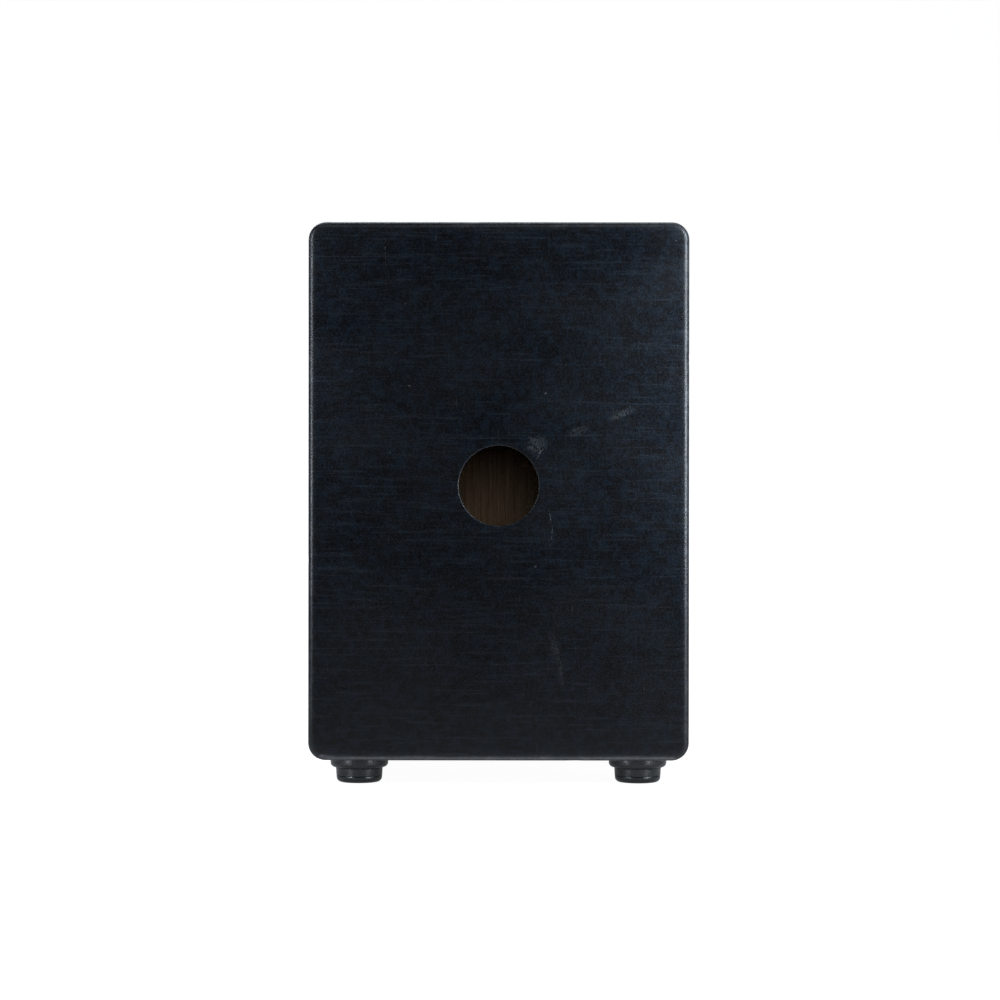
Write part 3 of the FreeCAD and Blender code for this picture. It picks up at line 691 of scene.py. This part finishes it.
def drill(board, x, y, radius, low, high):
    """A round hole with softened rims through a level board."""
    mouth = radius + KEY_RIM
    profile = [(mouth, low - MM), (mouth, low), (radius, low + KEY_RIM),
               (radius, high - KEY_RIM), (mouth, high), (mouth, high + MM)]
    cutter = lathe("cutter", profile, [INNER_WOOD], Vector((x, y, 0)), 40)
    cut_away(board, cutter)


def make_bottom_panel():
    """The bottom board, with a key hole under each tension screw."""
    board = make_frame_board("bottom_panel", level=-1)
    low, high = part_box("bottom_panel")
    for side in SIDES:
        mount = mounts["key_hole_" + side]
        x, y = mount["pos_m"][:2]
        drill(board, x, y, mount["dims"]["r_mm"] * MM, low.z, high.z)
    return board


def centre_of(node):
    low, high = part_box(node)
    return (low + high) / 2


def make_tension_screw(side):
    """A socket-head screw: hexagon socket in its lower end, knurled head, plain neck and a
    rolled thread with a chamfered tip."""
    node = "tension_screw_" + side
    low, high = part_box(node)
    centre = centre_of(node)
    bottom = low.z
    head = bottom + 5 * MM
    shank = 2.5 * MM
    pitch = 0.8 * MM

    def socket(angle, height):
        return 2 * MM / math.cos((angle + math.pi / 6) % (math.pi / 3) - math.pi / 6)

    def knurl(angle, height):
        return 4.12 * MM + 0.13 * MM * math.cos(angle * 30)

    def thread(angle, height):
        turn = (height / pitch - angle / (2 * math.pi)) % 1.0
        return shank - 0.42 * MM * abs(2 * turn - 1)

    profile = [(socket, bottom + 2.6 * MM), (socket, bottom + 0.3 * MM), (2.7 * MM, bottom),
               (3.8 * MM, bottom), (4.1 * MM, bottom + 0.3 * MM), (knurl, bottom + 0.6 * MM),
               (knurl, head - 0.5 * MM), (4.1 * MM, head - 0.3 * MM), (3.9 * MM, head),
               (2.6 * MM, head), (shank, head + 0.2 * MM), (shank, head + 7 * MM)]
    step = 0.1 * MM
    height = head + 7 * MM + step
    while height < high.z - 0.8 * MM:
        profile.append((thread, height))
        height += step
    profile += [(2.0 * MM, high.z - 0.5 * MM), (1.6 * MM, high.z)]
    screw = lathe(node + "_threaded", profile, [BLACK_STEEL], Vector((centre.x, centre.y, 0)),
                  60, 32)
    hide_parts(node)
    return screw


def make_string(side, place):
    """A wound bronze string with a drilled barrel at each end. It runs between the rail and the
    carriage."""
    node = "snare_string_%s_%s" % (side, place)
    low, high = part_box(node)
    centre = centre_of(node)
    barrel = 1.5 * MM
    wire = 0.45 * MM
    pitch = 1.1 * MM

    def barrel_at(bottom):
        waist = barrel - 0.18 * MM
        return [(0.5 * MM, bottom), (barrel - 0.2 * MM, bottom), (barrel, bottom + 0.2 * MM),
                (barrel, bottom + 0.7 * MM), (waist, bottom + 1.0 * MM),
                (waist, bottom + 2.0 * MM), (barrel, bottom + 2.3 * MM),
                (barrel, bottom + 2.8 * MM), (barrel - 0.2 * MM, bottom + 3 * MM),
                (wire, bottom + 3 * MM)]

    profile = barrel_at(low.z)
    count = round((high.z - low.z - 8 * MM) / pitch)
    for turn in range(count):
        height = low.z + 4 * MM + turn * pitch
        profile += [(wire - 0.09 * MM, height), (wire, height + pitch * 0.3),
                    (wire, height + pitch * 0.7)]
    profile += [(radius, low.z + high.z - height)
                for radius, height in reversed(barrel_at(low.z))]
    string = lathe(node + "_wound", profile, [BRONZE], Vector((centre.x, centre.y, 0)), 12, 50)
    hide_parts(node)
    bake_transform(string)


def keep_node(node, material):
    """Show a CAD piece as it is, with a better material."""
    for slot in frame["nodes"][node].material_slots:
        slot.material = material


# ---- build the cajon -----------------------------------------------------------------

def build_box():
    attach(make_rear_panel(), "box")
    keep_node("front_plate", PLATE_WOOD)
    for side, sign in SIDES.items():
        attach(make_frame_board(side + "_side_panel", side=sign), "box")
    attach(make_frame_board("top_panel", level=1), "box")
    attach(make_bottom_panel(), "box")
    for level in ("top", "bottom"):
        for side in SIDES:
            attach(refined("corner_block_%s_%s" % (level, side), BLOCK_WOOD, 0.6 * MM), "box")
    for end in ("front", "rear"):
        for side in SIDES:
            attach(make_foot("foot_%s_%s" % (end, side)), "box")
    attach(refined("string_rail", RAIL_WOOD, 0.6 * MM), "box")
    keep_node("foot_screws", BRIGHT)
    keep_node("foot_washers", BRIGHT)
    keep_node("anchor_screws", BRIGHT)
    keep_node("bracket_screws", BRIGHT)
    keep_node("front_plate_screws", BLACK_STEEL)


def build_snares():
    for side in SIDES:
        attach(refined("anchor_plate_" + side, ZINC, 0.2 * MM), "box")
        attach(refined("tension_bracket_" + side, ZINC, 0.25 * MM), "box")
        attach(refined("carriage_" + side, MACHINED, 0.3 * MM), "carriage_" + side)
        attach(make_tension_screw(side), "tensioner_" + side)
        keep_node("retaining_clip_" + side, BRIGHT)
        for place in ("outer", "inner"):
            make_string(side, place)


# ---- the studio ----------------------------------------------------------------------

def make_stage():
    """One pale sheet: floor under the cajon, curving up into a wall beyond it. It looks almost
    white and is clear from below. Within a metre of the cajon it glows of itself, a painted glow
    that throws soft light up round the cajon."""
    material, tree = new_material("studio_sheet")
    place = place_in_frame(tree)
    mottle = grain_noise(tree, place, (3, 3, 3), 2.0, 0.5)
    shade = mix(tree, mottle, colour(0.38, 0.38, 0.38), colour(0.42, 0.42, 0.42))
    seen = add(tree, "LightPath").outputs["Is Camera Ray"]
    away = add(tree, "VectorMath", {0: place}, operation="LENGTH").outputs["Value"]
    # painted glow: the floor near the cajon emits light of its own, fading out by a metre away
    near = ramp(tree, away, 0.45, 1.0, FLOOR_GLOW, 0.0)
    glow = maths(tree, "MAXIMUM", maths(tree, "MULTIPLY", seen, STAGE_GLOW), near)
    sheet_shader = add(tree, "BsdfPrincipled", {
        "Base Color": shade,
        "Roughness": 0.9,
        "Specular IOR Level": 0.1,
        "Emission Color": (1, 1, 1, 1),
        "Emission Strength": glow,
    })
    under = add(tree, "NewGeometry").outputs["Backfacing"]
    clear = add(tree, "BsdfTransparent")
    either = add(tree, "MixShader", {0: under, 1: sheet_shader.outputs[0], 2: clear.outputs[0]})
    add(tree, "OutputMaterial", {"Surface": either.outputs[0]})
    half_width = 6.0
    front = 5.0
    wall = -2.6
    bend = 1.2
    height = 5.0
    line = [(front, 0.0), (1.0, 0.0), (wall + bend, 0.0)]
    for step in range(1, 13):
        angle = math.radians(90 * step / 12)
        line.append((wall + bend - bend * math.sin(angle), bend - bend * math.cos(angle)))
    line.append((wall, height))
    points = []
    for y, z in line:
        points += [(-half_width, y, z - 0.2 * MM), (half_width, y, z - 0.2 * MM)]
    faces = [(2 * row, 2 * row + 2, 2 * row + 3, 2 * row + 1) for row in range(len(line) - 1)]
    sheet = new_object("studio_sheet", points, faces, [material])


def aim(item, target):
    direction = Vector(target) - item.location
    item.rotation_mode = "QUATERNION"
    item.rotation_quaternion = direction.to_track_quat("-Z", "Y")


def add_softbox(name, place, target, width, height, power):
    light = bpy.data.lights.new(name, "AREA")
    light.shape = "RECTANGLE"
    light.size = width
    light.size_y = height
    light.energy = power
    light.color = COOL_LIGHT
    item = bpy.data.objects.new(name, light)
    bpy.context.scene.collection.objects.link(item)
    item.location = place
    item.visible_camera = False
    aim(item, target)
    return item


def light_only(lamp, names):
    """Keep a lamp to the named pieces; it lights nothing else."""
    group = bpy.data.collections.new(lamp.name + "_pieces")
    for name in names:
        group.objects.link(bpy.data.objects[name])
    lamp.light_linking.receiver_collection = group


STAGE_GLOW = 0.97
FLOOR_GLOW = 0.30
COOL_LIGHT = (0.84, 0.92, 1.0)
WARM_LIGHT = (1.0, 0.90, 0.76)
WORLD_GREY = 0.02
CAMERA_DISTANCE = 2.1
PICTURE_WIDTH = 0.7912
SENSOR = 36.0
EYE_ASIDE = -1 * MM
EYE_DROP = 6.9 * MM
CAMERA_ROLL = 0.06

# Soft lamps: name, place, where they point, width, height and watts.
LAMPS = [
    ("right_near", (-0.285, 0.25, 0.365), (-0.145, 0.15, 0.335), 0.04, 0.36, 1.65),
    ("right_low", (-0.42, 0.33, 0.17), (-0.13, 0.15, 0.17), 0.14, 0.26, 0.75),
    ("left_near", (0.295, 0.25, 0.335), (0.145, 0.15, 0.31), 0.04, 0.36, 0.68),
    ("left_low", (0.42, 0.33, 0.15), (0.13, 0.15, 0.15), 0.14, 0.26, 0.18),
    ("top_near", (-0.02, 0.27, 0.54), (0, 0.15, 0.44), 0.36, 0.06, 0.10),
    ("overhead", (0.1, -0.55, 1.5), (0, -0.1, 0.2), 1.2, 0.8, 9),
    ("front_fill", (0.7, -1.9, 1.3), (0, 0, 0.25), 1.2, 1.2, 24),
]
RIM_LAMP = ("bottom_near", (0, 0.156, 0.002), (0, 0.152, 0.03), 0.29, 0.014, 0.035)
FOOT_LAMPS = [
    ("foot_glint_left", (0.9, 1.0, 0.09), (0, 0.113, 0.01), 0.14, 0.16, 4.0),
    ("foot_glint_right", (-0.9, 1.0, 0.09), (0, 0.113, 0.01), 0.14, 0.16, 4.0),
]
HOLE_LAMP = ("hole_light", (-0.07, 1.6, HOLE_Z + 0.15), (0, 0, HOLE_Z), 0.3, 0.3, 1.05)


def make_camera():
    """Behind the cajon, square on to the rear panel and level with its middle."""
    data = bpy.data.cameras.new("camera")
    data.sensor_width = SENSOR
    data.lens = SENSOR * CAMERA_DISTANCE / PICTURE_WIDTH
    item = bpy.data.objects.new("camera", data)
    bpy.context.scene.collection.objects.link(item)
    eye = Vector((EYE_ASIDE, REAR_HIGH.y + CAMERA_DISTANCE, CENTRE_Z - EYE_DROP))
    roll = Matrix.Rotation(math.radians(CAMERA_ROLL), 4, "Y")
    facing = Vector((0, -1, 0)).to_track_quat("-Z", "Y").to_matrix().to_4x4()
    item.matrix_world = Matrix.Translation(eye) @ roll @ facing
    bpy.context.scene.camera = item


def make_lights():
    """The world, white to the camera and nearly dark to everything else, and the lamps."""
    world = bpy.data.worlds.new("studio")
    world.use_nodes = True
    tree = world.node_tree
    background = tree.nodes["Background"]
    background.inputs["Color"].default_value = (1, 1, 1, 1)
    seen = add(tree, "LightPath").outputs["Is Camera Ray"]
    tree.links.new(maths(tree, "MAXIMUM", seen, WORLD_GREY), background.inputs["Strength"])
    bpy.context.scene.world = world
    for lamp in LAMPS:
        add_softbox(*lamp)
    light_only(add_softbox(*RIM_LAMP), ["rear_panel_board"])
    feet = ["foot_%s_%s_moulding" % (end, side) for end in ("front", "rear") for side in SIDES]
    for lamp in FOOT_LAMPS:
        light_only(add_softbox(*lamp), feet)
    inner = add_softbox(*HOLE_LAMP)
    inner.data.color = WARM_LIGHT
    light_only(inner, ["front_plate"])


build_box()
build_snares()
make_stage()
make_camera()
make_lights()
bpy.context.scene.view_settings.view_transform = "Standard"
